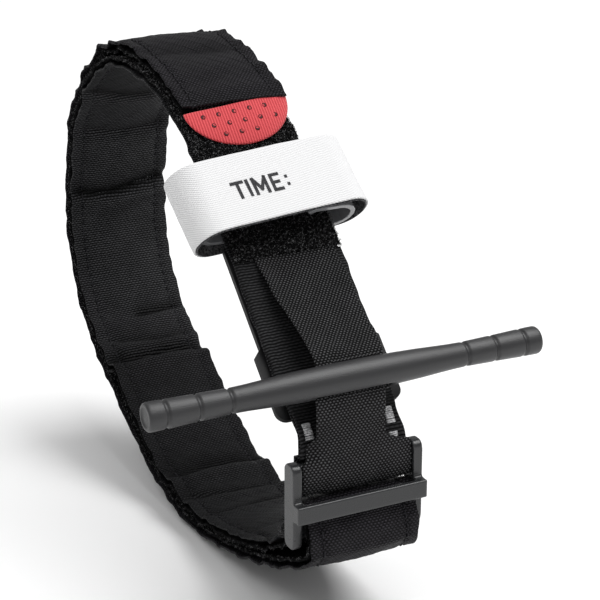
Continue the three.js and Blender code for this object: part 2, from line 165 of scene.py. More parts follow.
LOWER_BAR = (93, -37.4)
FOLD_RADIUS = 4.8
buckle_end = spline(
    [(90.6, -19.8), (90.4, -18.2), (89.3, -16.1), on_front(97, LIMB_FACE), on_front(FRONT_END, LIMB_FACE)],
    8,
)
round_limb = spline(
    [
        on_front(0, LIMB_FACE), on_front(-10, LIMB_FACE - 0.7), on_front(-20, LIMB_FACE - 2.9),
        on_front(-29, LIMB_FACE - 5.9), (-14.5, 69.7), (-28, 71.8), (-42, 72), (-53, 70), (-62, 66),
        (-71, 59.5), (-79, 51), (-86, 41.5), (-90, 32), (-91.5, 22), (-94, 10), (-94, -2), (-91, -13),
        (-86.5, -23), (-79.5, -32), (-69, -39.5), (-57, -46), (-44, -53.5), (-30, -61), (-15, -67.5),
        (0, -71), (15, -71.5), (30, -69.5), (48, -65), (64, -59.5), (76, -53.5), (83.5, -47.5),
        (87.4, -42.6), (88.2, -39),
    ],
    72,
)
over_bar = arc(LOWER_BAR, FOLD_RADIUS, math.pi, 0, 8)
round_outside = spline(
    [
        (97.8, -39), (99.3, -42), (100.9, -46.5), (100.9, -50), (98, -53.9), (88, -59), (74, -65),
        (60, -70), (45, -74), (30, -77.2), (15, -79.4), (0, -79.2), (-18, -75.5), (-35, -68), (-50, -60),
        (-65, -51.5), (-77.5, -43.5), (-88, -33.5), (-94.5, -24), (-98.8, -13), (-101.7, -2),
        (-101.6, 10), (-99, 23), (-97.5, 34), (-93, 46), (-84.5, 57), (-75.5, 66), (-66, 73),
        (-56, 77.8), (-43, 80.3), (-30, 80.3), (-18, 78), (-9.5, 75.6), (-3, 73),
        on_front(-25, LIMB_FACE + 3.8), on_front(TIP_START, LIMB_FACE + 4.6),
    ],
    72,
)
BAND = Route(np.concatenate([buckle_end, round_limb, over_bar, round_outside]), soften=0.9)
TO_FRONT = lengths(buckle_end)[-1]


def station(s):
    """The station of a place s down the windlass side."""
    return TO_FRONT + FRONT_END - s


# Where the band is cut into pieces, so that each piece bends at one joint only.
MIDDLE_CUT = 326
BAR_TOP = 486
LOWER_CUT = 660
BAND_END = BAND.long


def noise(x, seed, length, octaves=3):
    """Smooth seeded waviness along a line, about -1 to 1."""
    draw = np.random.default_rng(seed)
    total = 0
    for k in range(octaves):
        pitch = length / (1.7**k) * draw.uniform(0.85, 1.15)
        total = total + np.sin(2 * math.pi * x / pitch + draw.uniform(0, 6.28)) / (1.4**k)
    return total / 2


def bump(x, centre, width):
    return np.exp(-(((x - centre) / width) ** 2))


def ease(x, low, high):
    t = np.clip((x - low) / (high - low), 0, 1)
    return t * t * (3 - 2 * t)


# Tucks across the band: station, slant, depth, width, and how far each reaches to either side.
CREASES = [
    (150, 0.05, 0.9, 5.0, -16, 16), (180, -0.05, 0.9, 4.0, -16, 16),
    (209, 0.10, 1.5, 2.2, -18, 18), (228, 0.06, 1.0, 1.8, -18, 18),
    (253.6, -0.02, 2.4, 1.3, -19, 19), (303.5, 0.06, 1.7, 1.1, -2, 19),
    (315.5, 0.05, 1.2, 1.6, -14, 19), (323.8, 0.06, 2.8, 1.5, -19, 19),
    (381, 0.05, 2.4, 1.8, -19, 19), (397, 0.04, 1.3, 1.0, -19, 19), (411, 0.03, 1.5, 1.0, -19, 19),
    (437, -0.03, 0.8, 2.5, -19, 19), (458, 0.04, 0.8, 2.5, -19, 19),
    (562, 0.04, 0.9, 5.0, -19, 19), (598, -0.03, 0.9, 4.0, -19, 19), (640, 0.05, 1.1, 3.0, -19, 19),
    (688, -0.05, 1.1, 3.0, -19, 19), (724, 0.05, 1.2, 3.0, -19, 19), (752, -0.05, 1.0, 3.0, -19, 19),
    (790, 0.05, 1.2, 3.0, -19, 19), (818, -0.04, 1.1, 3.0, -19, 19), (842, 0.05, 1.8, 2.2, -19, 19),
    (868, -0.04, 1.2, 4.0, -19, 19), (893, 0.05, 1.0, 4.5, -19, 19),
]
# How far the whole band sways along the limb, by station.
SWAY = [
    (0, 0.6), (40, 1.2), (80, 1.7), (110, 1.5), (150, 0.6), (200, 0), (480, 0.4), (520, 0.8),
    (600, 0.3), (660, 0), (800, 0.4), (870, 1.8), (925, 2.5),
]
# How far the whole band rises out of its route, by station: at a tuck one panel stands in
# over the one beside it.
HEAVE = [
    (0, 0), (20, 0.3), (60, 0.2), (75, 0), (198, 0), (206, 0.9), (212, -0.8), (219, 0), (226, 0.6),
    (232, -0.5), (243, 0), (251.5, 1.7), (256.5, -1.5), (270, 0), (298, 0.2), (302, 0.6), (306, -0.3),
    (313, 0.6), (317.5, 0), (322.3, 2.3), (327, -2.5), (343, -0.5), (366, 0.3), (378, 1.9),
    (384.5, -2.0), (394, 0.2), (396.5, 0.7), (399, -0.5), (409.5, 0.8), (413, -0.6), (425, 0), (560, 0),
    (812, 0), (822, 0.6), (832, -0.3), (842, 0.7), (850, -0.7), (862, 0.4), (872, -0.5), (882, 0),
]


def softened(points, width):
    """A function through those points, smoothed over that width."""
    at, value = np.array(points, float).T
    grid = np.arange(at[0], at[-1] + 0.5, 0.5)
    reach = int(3 * width / 0.5)
    kernel = np.exp(-((np.arange(-reach, reach + 1) * 0.5 / width) ** 2) / 2)
    line = np.pad(np.interp(grid, at, value), reach, mode="edge")
    smooth = np.convolve(line, kernel / kernel.sum(), "valid")
    return lambda u: np.interp(u, grid, smooth)


sway = softened(SWAY, 6)
heave = softened(HEAVE, 1.3)


def past_crease(u, y, at, slant):
    """How far along a place lies from a tuck's line, which slants and bends a little."""
    return u - at - slant * y - 1.2 * np.sin(y / 7 + at)


def creased(u, y):
    """How deep the tucks are at a place on the smooth face."""
    total = 0
    for at, slant, depth, width, low, high in CREASES:
        d = past_crease(u, y, at, slant)
        reach = ease(y, low - 3, low + 2) * (1 - ease(y, high - 2, high + 3))
        valley = depth * np.exp(-np.abs(d / width) ** 1.5)
        swell_before = 0.45 * depth * bump(d, -3.2 * width, 2.4 * width)
        swell_after = 0.35 * depth * bump(d, 3.0 * width, 2 * width)
        total = total + reach * (valley - swell_before - swell_after)
    return total


def painted_shade_at(u, y):
    """How much painted shade a place gets, 0 to 1: deep in tucks, and under the top of the loop."""
    total = 0
    for at, slant, depth, width, low, high in CREASES:
        d = past_crease(u, y, at, slant)
        reach = ease(y, low - 2, low + 4) * (1 - ease(y, high - 4, high + 2))
        shade = np.where(d < 0, np.exp(np.minimum(d, 0) / (2.4 * width)), np.exp(-((d / 0.8) ** 2)))
        total = total + reach * shade * np.clip(depth - 0.6, 0, 1.4) / 1.4
    # Painted shade under the top of the loop, where the band arches over.
    painted_shade_under_top = 0.45 * bump(u, 178, 24)
    return np.clip(total + painted_shade_under_top, 0, 1)


# Where along the band the margins pucker more or less than usual: station, reach, share.
GATHERS = [
    (195, 30, 0.5), (470, 28, 0.75), (850, 30, 1.3), (905, 20, 0.5), (560, 25, 0.5), (45, 60, -0.45),
]


def gather(u):
    """How much the margins pucker: more at the buckle and over the top of the loop."""
    total = 0.55
    for at, width, share in GATHERS:
        total = total + share * bump(u, at, width)
    return total


def smooth_rise(u, y):
    """The smooth ply's shape: puffed between the stitch lines, pinched at them, wavy outside."""
    inside = np.clip(1 - (y / STITCH_LINE) ** 2, 0, 1)
    outside = np.clip((np.abs(y) - STITCH_LINE) / (HALF_BAND - STITCH_LINE), 0, 1)
    pinch = 0.55 * (bump(y, STITCH_LINE, 0.9) + bump(y, -STITCH_LINE, 0.9))
    quiet = ease(u, 62, 100)
    wave = np.where(y < 0, noise(u, 11, 17), noise(u, 12, 19)) * gather(u) * outside**1.3
    rib = 0.22 * np.sin(2 * math.pi * u / STITCH_PITCH) * (bump(y, STITCH_LINE, 1.6) + bump(y, -STITCH_LINE, 1.6))
    body = -0.55 * inside + pinch + 0.75 * wave + rib + creased(u, y) * (0.35 + 0.65 * inside**0.4)
    ripple = 0.16 * noise(u + 0.6 * y, 21, 13) + 0.1 * noise(u - 1.1 * y, 22, 7)
    return heave(u) + quiet * (body + ripple)


def pile_rise(u, y):
    """The pile ply's shape: pinched to the smooth ply at the stitch lines, free outside them."""
    outside = np.clip((np.abs(y) - STITCH_LINE) / (HALF_BAND - STITCH_LINE), 0, 1)
    pinch = -0.5 * (bump(y, STITCH_LINE, 1.2) + bump(y, -STITCH_LINE, 1.2))
    wave = np.where(y < 0, noise(u, 31, 12), noise(u, 32, 14)) * gather(u) * outside
    follow = 0.55 * np.clip(creased(u, y), 0, 3)
    return heave(u) + ease(u, 62, 100) * (pinch + 0.6 * wave + 0.25 * noise(u + y, 33, 9) + follow)


def edge_waver(u, seed):
    """How far an edge of the band wanders in and out."""
    return 0.35 * noise(u, seed, 23) + 0.2 * noise(u, seed + 1, 7) * gather(u)


def waist(u):
    """How far each edge is drawn in, between the windlass and the buckle."""
    return 2.2 * bump(u, 9, 9)


# ---------------------------------------------------------------- meshes
def build(name, points, faces, material, uv=None, smooth=True, seam=()):
    """A mesh object from points in millimetres, with UVs in millimetres of cloth."""
    mesh = bpy.data.meshes.new(name)
    mesh.from_pydata((np.asarray(points) * MM).tolist(), [], [tuple(f) for f in faces])
    if uv is not None:
        layer = mesh.uv_layers.new(name="cloth")
        corner = np.zeros(len(mesh.loops), np.int32)
        mesh.loops.foreach_get("vertex_index", corner)
        layer.data.foreach_set("uv", np.asarray(uv, np.float32)[corner].ravel())
    mesh.polygons.foreach_set("use_smooth", [smooth] * len(mesh.polygons))
    mesh.materials.append(material)
    mesh.update()
    if len(seam):
        ends = np.zeros(len(mesh.edges) * 2, np.int32)
        mesh.edges.foreach_get("vertices", ends)
        marked = np.isin(ends.reshape(-1, 2), seam).all(1)
        mesh.attributes.new("sharp_edge", "BOOLEAN", "EDGE").data.foreach_set("value", marked)
    piece = bpy.data.objects.new(name, mesh)
    bpy.context.scene.collection.objects.link(piece)
    return piece


def columns(count, rim=(0, 0.006, 0.016, 0.034)):
    """Shares across a strip, closer together at its two edges."""
    rim = np.array(rim)
    middle = np.linspace(rim[-1], 1 - rim[-1], count)[1:-1]
    return np.concatenate([rim, middle, 1 - rim[::-1]])


def shell_faces(index, lines):
    """Faces of two skins on one grid, the second skin's points after the first's, and walls on lines."""
    top = index.size
    low = np.stack([index[:-1, :-1], index[1:, :-1], index[1:, 1:], index[:-1, 1:]], -1).reshape(-1, 4)
    faces = [low, low[:, ::-1] + top]
    for line, flip in lines:
        p, q = line[:-1], line[1:]
        wall = np.stack([p, p + top, q + top, q], -1)
        faces.append(wall[:, ::-1] if flip else wall)
    return np.concatenate(faces).tolist()


def ply_faces(shape):
    """Faces of a ply's closed shell, and the points of its two cut ends."""
    index = np.arange(shape[0] * shape[1]).reshape(shape)
    lines = (index[:, 0], False), (index[:, -1], True), (index[0], True), (index[-1], False)
    ends = np.concatenate([index[0], index[-1]])
    return shell_faces(index, lines), np.concatenate([ends, ends + index.size])


def face_out(piece, merge=0.0):
    """Turns a closed mesh's faces outward, after merging points closer than merge."""
    mesh = bmesh.new()
    mesh.from_mesh(piece.data)
    if merge:
        bmesh.ops.remove_doubles(mesh, verts=mesh.verts, dist=merge)
    bmesh.ops.recalc_face_normals(mesh, faces=mesh.faces)
    mesh.to_mesh(piece.data)
    mesh.free()
    return piece


def strip(name, route, stations, left, right, low, high, material, rise=None, count=38):
    """A woven ply on a route between two levels and two edges; left and right may be functions."""
    u = np.asarray(stations, float)
    v = columns(count)
    lo = left(u) if callable(left) else np.full(len(u), float(left))
    hi = right(u) if callable(right) else np.full(len(u), float(right))
    y = lo[:, None] + (hi - lo)[:, None] * v[None, :]
    uu = np.repeat(u[:, None], len(v), 1)
    thick = high - low
    edge = np.minimum(v, 1 - v)[None, :] * (hi - lo)[:, None]
    round_off = np.sqrt(np.clip(1 - (1 - np.clip(edge / (thick / 2), 0, 1)) ** 2, 0.02, 1))
    lift = rise(uu, y) if rise else np.zeros_like(y)
    middle = (low + high) / 2 + lift
    shift = sway(uu) if route is BAND else 0
    skins = []
    for side in (-1, 1):
        xz = route.place(uu, middle + side * thick / 2 * round_off)
        skins.append(np.stack([xz[..., 0], y + shift, xz[..., 1]], -1).reshape(-1, 3))
    faces, seam = ply_faces(uu.shape)
    uv = np.tile(np.stack([y, uu], -1).reshape(-1, 2), (2, 1))
    piece = build(name, np.concatenate(skins), faces, material, uv, seam=seam)
    # The smooth ply keeps its painted shade, in tucks and under the top of the loop, as a point mask that darkens the
    # webbing's colour.
    if rise is smooth_rise:
        shade = piece.data.attributes.new("painted_shade_mask", "FLOAT", "POINT")
        shade.data.foreach_set("value", np.tile(painted_shade_at(uu, y).ravel(), 2))
    return piece


def tubes(name, paths, radius, material, sides):
    """Many thin tubes as one mesh; paths is (how many, points each, 3)."""
    paths = np.asarray(paths, float)
    count, steps, _ = paths.shape
    run = np.gradient(paths, axis=1)
    run /= np.maximum(np.linalg.norm(run, axis=2), 1e-9)[..., None]
    ref = np.random.default_rng(0).normal(size=(count, 1, 3))
    one = np.cross(run, np.repeat(ref, steps, 1))
    one /= np.maximum(np.linalg.norm(one, axis=2), 1e-9)[..., None]
    two = np.cross(run, one)
    a = np.arange(sides) / sides * 2 * math.pi
    radius = np.broadcast_to(radius, (count, steps))[:, :, None, None]
    rings = paths[:, :, None] + radius * (
        np.cos(a)[None, None, :, None] * one[:, :, None] + np.sin(a)[None, None, :, None] * two[:, :, None]
    )
    index = np.arange(count * steps * sides).reshape(count, steps, sides)
    nxt = np.roll(index, -1, axis=2)
    quads = np.stack([index[:, :-1], nxt[:, :-1], nxt[:, 1:], index[:, 1:]], -1).reshape(-1, 4)
    faces = quads.tolist() + index[:, 0, ::-1].tolist() + index[:, -1].tolist()
    return build(name, rings.reshape(-1, 3), faces, material)


def on_strip(route, u, y, level):
    """Points in the row frame on a route's surface."""
    xz = route.place(u, level)
    shift = sway(u) if route is BAND else 0
    return np.stack([xz[..., 0], y + shift, xz[..., 1]], -1)


# ---------------------------------------------------------------- materials
class Look:
    """A procedural material around one Principled shader."""

    def __init__(self, name, roughness, sheen=0.0, specular=0.5, coat=0.0):
        self.material = bpy.data.materials.new(name)
        self.material.use_nodes = True
        self.tree = self.material.node_tree
        self.shader = self.tree.nodes["Principled BSDF"]
        self.shader.inputs["Roughness"].default_value = roughness
        self.shader.inputs["Sheen Weight"].default_value = sheen
        self.shader.inputs["Sheen Roughness"].default_value = 0.5
        self.shader.inputs["Specular IOR Level"].default_value = specular
        self.shader.inputs["Coat Weight"].default_value = coat
        self.shader.inputs["Coat Roughness"].default_value = 0.25

    def node(self, kind, **inputs):
        made = self.tree.nodes.new("ShaderNode" + kind)
        for key, value in inputs.items():
            target = made.inputs[key.replace("_", " ")]
            if isinstance(value, bpy.types.NodeSocket):
                self.tree.links.new(value, target)
            else:
                target.default_value = value
        return made

    def math(self, operation, a, b=0.0):
        made = self.tree.nodes.new("ShaderNodeMath")
        made.operation = operation
        for socket, value in zip(made.inputs, (a, b)):
            if isinstance(value, bpy.types.NodeSocket):
                self.tree.links.new(value, socket)
            else:
                socket.default_value = value
        return made.outputs[0]

    def cloth(self):
        """(across, along) in millimetres of cloth."""
        uv = self.tree.nodes.new("ShaderNodeUVMap")
        uv.uv_map = "cloth"
        parts = self.node("SeparateXYZ", Vector=uv.outputs[0])
        return uv.outputs[0], parts.outputs[0], parts.outputs[1]

    def place(self):
        return self.tree.nodes.new("ShaderNodeTexCoord").outputs["Object"]

    def noise(self, where, scale, detail=3.0, roughness=0.6):
        return self.node("TexNoise", Vector=where, Scale=scale, Detail=detail, Roughness=roughness).outputs[0]

    def ramp(self, value, stops):
        made = self.node("ValToRGB", Fac=value)
        for _ in range(len(stops) - 2):
            made.color_ramp.elements.new(0.5)
        for element, (at, colour) in zip(made.color_ramp.elements, stops):
            element.position = at
            element.color = (*colour, 1)
        return made.outputs[0]

    def mix(self, share, a, b):
        made = self.tree.nodes.new("ShaderNodeMix")
        made.data_type = "RGBA"
        for socket, value in zip((made.inputs[0], made.inputs[6], made.inputs[7]), (share, a, b)):
            if isinstance(value, bpy.types.NodeSocket):
                self.tree.links.new(value, socket)
            else:
                socket.default_value = value if isinstance(value, float) else (*value, 1)
        return made.outputs[2]

    def finish(self, colour, height, distance, rough=None):
        self.tree.links.new(colour, self.shader.inputs["Base Color"])
        if rough is not None:
            self.tree.links.new(rough, self.shader.inputs["Roughness"])
        made = self.node("Bump", Strength=1.0, Distance=distance, Height=height)
        self.tree.links.new(made.outputs[0], self.shader.inputs["Normal"])
        return self.material


# The share of the webbing's colour taken away by painted shade at the bottom of the deepest tuck.
PAINTED_SHADE_SHARE = 0.97


def webbing(name, dark, light, dash=0.3, pitch=1.0, dash_pitch=1.7, depth=0.0004):
    """Woven tape: ribs across it, broken into staggered floats by dash, and darkened by a painted shade mask where a
    piece has one.
    """
    look = Look(name, 0.5, specular=0.12)
    uv, across, along = look.cloth()
    wobble = look.noise(uv, 0.35, 2.0)
    along = look.math("ADD", along, look.math("MULTIPLY", wobble, 0.6))
    row = look.math("DIVIDE", along, pitch)
    rib = look.math("SINE", look.math("MULTIPLY", look.math("FRACT", row), math.pi))
    odd = look.math("MULTIPLY", look.math("FLOORED_MODULO", look.math("FLOOR", row), 2.0), 0.5)
    column = look.math("ADD", look.math("DIVIDE", across, dash_pitch), odd)
    float_ = look.math("ABSOLUTE", look.math("SINE", look.math("MULTIPLY", column, math.pi)))
    broken = look.math("ADD", look.math("MULTIPLY", float_, dash), 1.0 - dash)
    height = look.math("MULTIPLY", look.math("POWER", rib, 0.8), broken)
    fuzz = look.noise(uv, 5.0, 4.0, 0.7)
    cloud = look.noise(uv, 0.09, 3.0)
    floats = look.math("MULTIPLY", look.math("POWER", height, 2.6), 0.85)
    shade = look.math("ADD", floats, look.math("MULTIPLY", fuzz, 0.25))
    shade = look.math("MULTIPLY", shade, look.math("ADD", look.math("MULTIPLY", cloud, 0.7), 0.6))
    # Painted shade: the colour darkens by the piece's painted shade mask, in tucks and under the top of the loop.
    painted_shade_mask = look.tree.nodes.new("ShaderNodeAttribute")
    painted_shade_mask.attribute_name = "painted_shade_mask"
    lit = look.math("SUBTRACT", 1.0, look.math("MULTIPLY", painted_shade_mask.outputs["Fac"], PAINTED_SHADE_SHARE))
    shade = look.math("MULTIPLY", shade, lit)
    colour = look.ramp(shade, [(0.18, dark), (0.95, light)])
    relief = look.math("ADD", height, look.math("MULTIPLY", fuzz, 0.35))
    return look.finish(colour, relief, depth)


def pile_cloth(name):
    look = Look(name, 0.95, specular=0.08)
    uv, _, _ = look.cloth()
    grain = look.noise(uv, 1.6, 5.0, 0.75)
    curls = look.node("TexVoronoi", Vector=uv, Scale=1.5).outputs[0]
    colour = look.ramp(grain, [(0.5, (0.001, 0.001, 0.0012)), (0.85, (0.03, 0.03, 0.032))])
    return look.finish(colour, look.math("SUBTRACT", grain, curls), 0.0006)


def moulding(name, colour, painted_edge_highlight, roughness, grain=0.00004, specular=0.5, coat=0.0):
    """Moulded plastic: a fine spark grain, faint flow marks and a painted highlight along sharp edges."""
    look = Look(name, roughness, specular=specular, coat=coat)
    where = look.place()
    fine = look.noise(where, 2600.0, 3.0, 0.6)
    flow = look.noise(where, 60.0, 4.0, 0.6)
    # Painted highlight: sharp edges, found by their pointiness, are made paler.
    pointed = look.tree.nodes.new("ShaderNodeNewGeometry").outputs["Pointiness"]
    edge = look.ramp(pointed, [(0.5, (0, 0, 0)), (0.62, (1, 1, 1))])
    tone = look.mix(flow, colour, tuple(c * 1.35 for c in colour))
    tone = look.mix(look.math("MULTIPLY", edge, 0.5), tone, painted_edge_highlight)
    rough = look.math("ADD", look.math("MULTIPLY", flow, 0.22), roughness - 0.11)
    return look.finish(tone, fine, grain, rough)


def fibres(name, colour, light, roughness=0.6, specular=0.15, stops=(0.35, 0.75)):
    look = Look(name, roughness, specular=specular)
    fuzz = look.noise(look.place(), 1500.0, 1.0)
    return look.finish(look.ramp(fuzz, [(stops[0], colour), (stops[1], light)]), fuzz, 0.00005)


INNER_WEB = webbing(
    "ribbed_webbing", (0.001, 0.001, 0.0012), (0.062, 0.062, 0.066),
    dash=0.4, pitch=0.85, dash_pitch=1.4,
)
# The lower part of the inner run: the same webbing with a darker light colour as painted shade, and a slightly
# different weave.
SHADED_LOWER_WEB = webbing(
    "shaded_lower_webbing", (0.001, 0.001, 0.0012), (0.036, 0.036, 0.039),
    dash=0.6, pitch=0.8, dash_pitch=1.3,
)
OUTER_WEB = webbing(
    "outer_webbing", (0.0012, 0.001, 0.0016), (0.038, 0.035, 0.042),
    dash=0.8, pitch=0.8, dash_pitch=1.3,
)
STRAP_WEB = webbing(
    "strap_webbing", (0.001, 0.001, 0.0012), (0.105, 0.105, 0.109),
    dash=0.95, pitch=0.8, dash_pitch=1.25, depth=0.0005,
)
COVER_WEB = webbing("cover_webbing", (0.001, 0.001, 0.0012), (0.032, 0.032, 0.034), dash=0.25, pitch=1.0)
PILE = pile_cloth("loop_pile")
LOOPS = fibres("pile_loops", (0.001, 0.001, 0.001), (0.2, 0.2, 0.205), 0.4, stops=(0.5, 0.68))
BLACK_THREAD = fibres("black_thread", (0.002, 0.002, 0.003), (0.028, 0.027, 0.031))
GREY_THREAD = fibres("grey_thread", (0.34, 0.34, 0.35), (0.75, 0.75, 0.76), specular=0.3)
# The second colour of each moulding is its painted edge highlight.
ROD_PLASTIC = moulding("rod_plastic", (0.017, 0.017, 0.018), (0.045, 0.045, 0.047), 0.42, 0.00008)
BUCKLE_PLASTIC = moulding("buckle_plastic", (0.012, 0.0125, 0.0135), (0.09, 0.09, 0.094), 0.26)
CLIP_PLASTIC = moulding("clip_plastic", (0.14, 0.142, 0.148), (0.3, 0.3, 0.31), 0.25, coat=0.3)
PLATE_PLASTIC = moulding("plate_plastic", (0.006, 0.006, 0.0065), (0.012, 0.012, 0.013), 0.55, specular=0.2)


def white_tape():
    """White twill: fine slanted cords."""
    look = Look("white_twill", 0.8, sheen=0.15, specular=0.3)
    uv, across, along = look.cloth()
    slanted = look.math("ADD", across, look.math("MULTIPLY", along, 0.55))
    cord = look.math("SINE", look.math("MULTIPLY", slanted, 2 * math.pi / 0.75))
    thread = look.math("SINE", look.math("MULTIPLY", along, 2 * math.pi / 0.5))
    weave = look.math("ADD", look.math("MULTIPLY", cord, 0.35), look.math("MULTIPLY", thread, 0.12))
    fuzz = look.noise(uv, 3.0, 3.0)
    specks = look.math("MULTIPLY", look.math("SUBTRACT", fuzz, 0.5), 0.4)
    tone = look.math("ADD", look.math("ADD", weave, 0.5), specks)
    colour = look.ramp(tone, [(0.0, (0.58, 0.58, 0.59)), (0.9, (0.8, 0.8, 0.8))])
    return look.finish(colour, weave, 0.00012)


def red_tape():
    """Red tape with fine pale ribs that run lengthways, and darker weld dots."""
    look = Look("red_tape", 0.7, sheen=0.2, specular=0.35)
    uv, across, along = look.cloth()
    rib = look.math("SINE", look.math("MULTIPLY", across, 2 * math.pi / 0.95))
    thread = look.math("SINE", look.math("MULTIPLY", along, 2 * math.pi / 0.45))
    relief = look.math("ADD", look.math("MULTIPLY", rib, 0.5), look.math("MULTIPLY", thread, 0.15))
    fuzz = look.noise(uv, 2.5, 3.0)
    ribs = look.math("ADD", look.math("MULTIPLY", relief, 0.7), 0.5)
    specks = look.math("MULTIPLY", look.math("SUBTRACT", fuzz, 0.5), 0.5)
    tone = look.math("ADD", ribs, specks)
    colour = look.ramp(tone, [(0.0, (0.42, 0.012, 0.02)), (1.0, (0.8, 0.09, 0.1))])
    return look.finish(colour, relief, 0.0002)


WHITE = white_tape()
RED = red_tape()
INK = fibres("ink", (0.02, 0.02, 0.022), (0.06, 0.06, 0.065), 0.7)
WELD = fibres("weld", (0.03, 0.002, 0.003), (0.09, 0.006, 0.008), 0.5)
LINING = fibres("hook_lining", (0.01, 0.01, 0.011), (0.16, 0.16, 0.165), 0.5)


# ---------------------------------------------------------------- motion
ON_BAND = ("band",)
TO_BUCKLE = ("band", "buckle", (-5, 0, -69), (84, 0, -47))
FROM_BUCKLE = ("buckle", "band", (97, 0, -54), (10, 0, -80))
TO_TAIL = ("band", "tail", (-66, 0, 60), (-22, 0, 88))


def settle(piece, motion, *nodes, slot=None, flat=None):
    if len(motion) == 1:
        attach(piece, motion[0])
    else:
        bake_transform(piece)
    if nodes:
        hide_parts(*nodes)
    return piece


# ---------------------------------------------------------------- the band
def curls(route, u, y, level, size, seed):
    """Little standing loops of pile at those places, as paths for tubes."""
    draw = np.random.default_rng(seed)
    n = len(u)
    turn = draw.uniform(0, math.pi, n)
    reach = draw.uniform(0.5, 1.2, n) * size
    tall = draw.uniform(0.6, 1.5, n) * size
    lean = draw.normal(0, 0.35, (2, n)) * size
    t = np.linspace(0, math.pi, 6)
    swing = np.cos(t)[None] * reach[:, None]
    du = swing * np.cos(turn)[:, None] + lean[0][:, None] * np.sin(t)
    dy = swing * np.sin(turn)[:, None] + lean[1][:, None] * np.sin(t)
    up = np.sin(t)[None] * tall[:, None] * 1.2 - 0.1 * np.sign(size)
    return on_strip(route, u[:, None] + du, y[:, None] + dy, level[:, None] + up)


def band_run(name, start, end, motion, smooth, pile, strap, threads, weave, pile_from=None):
    """One run of the band: its smooth ply, pull strap, pile ply, edge stitching and pile edge."""
    step = 1.0
    steps = lambda a, b, gap: np.linspace(a, b, max(2, int((b - a) / gap)) + 1)
    near = lambda u: -HALF_BAND + 0.6 * waist(u) + edge_waver(u, 41)
    far = lambda u: HALF_BAND - waist(u) + edge_waver(u, 43)
    base = start if pile_from is None else pile_from
    long = end - start
    settle(
        strip(f"{name}_smooth", BAND, steps(start, end, step), near, far, 0, PLY, weave, smooth_rise),
        motion, *smooth, slot="webbing", flat=(2 * HALF_BAND, long),
    )
    settle(
        strip(
            f"{name}_strap", BAND, steps(base, end, 3), -HALF_STRAP, HALF_STRAP,
            STRAP_LEVEL, STRAP_LEVEL + STRAP, STRAP_WEB, lambda u, y: heave(u), 12,
        ),
        motion, *strap, slot="webbing", flat=(2 * HALF_STRAP, end - base),
    )
    near_pile = lambda u: -HALF_BAND + 0.3 + edge_waver(u, 45)
    far_pile = lambda u: HALF_BAND - 0.3 + edge_waver(u, 47)
    settle(
        strip(
            f"{name}_pile", BAND, steps(base, end, step), near_pile, far_pile,
            PILE_LEVEL, BAND_TOP, PILE, pile_rise,
        ),
        motion, *pile, slot="pile", flat=(2 * HALF_BAND, end - base),
    )
    # Pile stands out along both edges.
    draw = np.random.default_rng(len(name) + int(start))
    count = int((end - base) * 5)
    u = draw.uniform(base, end, count)
    side = np.where(np.arange(count) % 2, 1.0, -1.0)
    y = side * (HALF_BAND - np.abs(draw.normal(0, 0.9, count)))
    level = PILE_LEVEL + PLY * draw.uniform(0.2, 1, count) + pile_rise(u, y)
    loops = curls(BAND, u, y, level, 0.5, int(start))
    settle(tubes(f"{name}_pile_edge", loops, 0.07, LOOPS, 3), motion, slot="pile")
    for edge, side in (("near", -1), ("far", 1)):
        half = 1.35
        u = np.arange(max(start, station(-4)) + 2, end - 2, STITCH_PITCH)
        t = np.linspace(-1, 1, 7)[None]
        uu = u[:, None] + half * t
        y = side * STITCH_LINE + 0.12 * np.sin(uu) + 0 * t
        level = smooth_rise(uu, y) - 0.3 + 0.55 * np.abs(t) ** 3
        paths = on_strip(BAND, uu, y, level)
        thread = tubes(f"{name}_stitch_{edge}", paths, 0.27, BLACK_THREAD, 6)
        settle(thread, motion, *[n for n in threads if n.endswith(edge)], slot="thread")


sewn = lambda run: (f"{run}_edge_stitch_near", f"{run}_edge_stitch_far")
band_run(
    "inner_band", 0, MIDDLE_CUT, ON_BAND,
    ["inner_run_smooth_ply"], ["inner_run_pile_ply"], ["inner_run_pull_strap"], sewn("inner_run"),
    INNER_WEB, pile_from=station(PILE_END),
)
band_run("inner_band_low", MIDDLE_CUT, BAR_TOP, TO_BUCKLE, [], [], [], [], SHADED_LOWER_WEB)
band_run(
    "fold_band", BAR_TOP, LOWER_CUT, FROM_BUCKLE,
    ["fold_smooth_ply"], ["fold_pile_ply"], ["fold_pull_strap"], [], OUTER_WEB,
)
band_run(
    "outer_band", LOWER_CUT, BAND_END, TO_TAIL,
    ["outer_run_smooth_ply", "tail_smooth_ply"], ["outer_run_pile_ply", "tail_pile_ply"],
    ["outer_run_pull_strap", "tail_pull_strap"], sewn("outer_run") + sewn("tail"), OUTER_WEB,
)

# The cover over the windlass side, ribbed across, behind the windlass strap.
def cover_rise(u, y):
    s = station(0) - u
    bow = np.interp(s, [45, 49, 67, 85, 92, 98, 110], [0.2, 0.9, 1.3, 1.1, 0.9, 0, 0])
    rim = 0.35 * (bump(y, 17.4, 1.1) + bump(y, -17.4, 1.1))
    return bow * (1 - (y / 21) ** 2) + rim + 0.2 * noise(u + 0.4 * y, 51, 15)


cover_end = station(PILE_END + 0.6)
settle(
    strip(
        "windlass_cover", BAND, np.linspace(0, cover_end, 70),
        lambda u: -HALF_BAND + 0.6 * waist(u) + edge_waver(u, 53),
        lambda u: HALF_BAND - waist(u) + edge_waver(u, 55),
        STRAP_LEVEL, STRAP_LEVEL + PLY, COVER_WEB, cover_rise,
    ),
    ON_BAND, "base_cover_ply", slot="webbing", flat=(2 * HALF_BAND, cover_end),
)

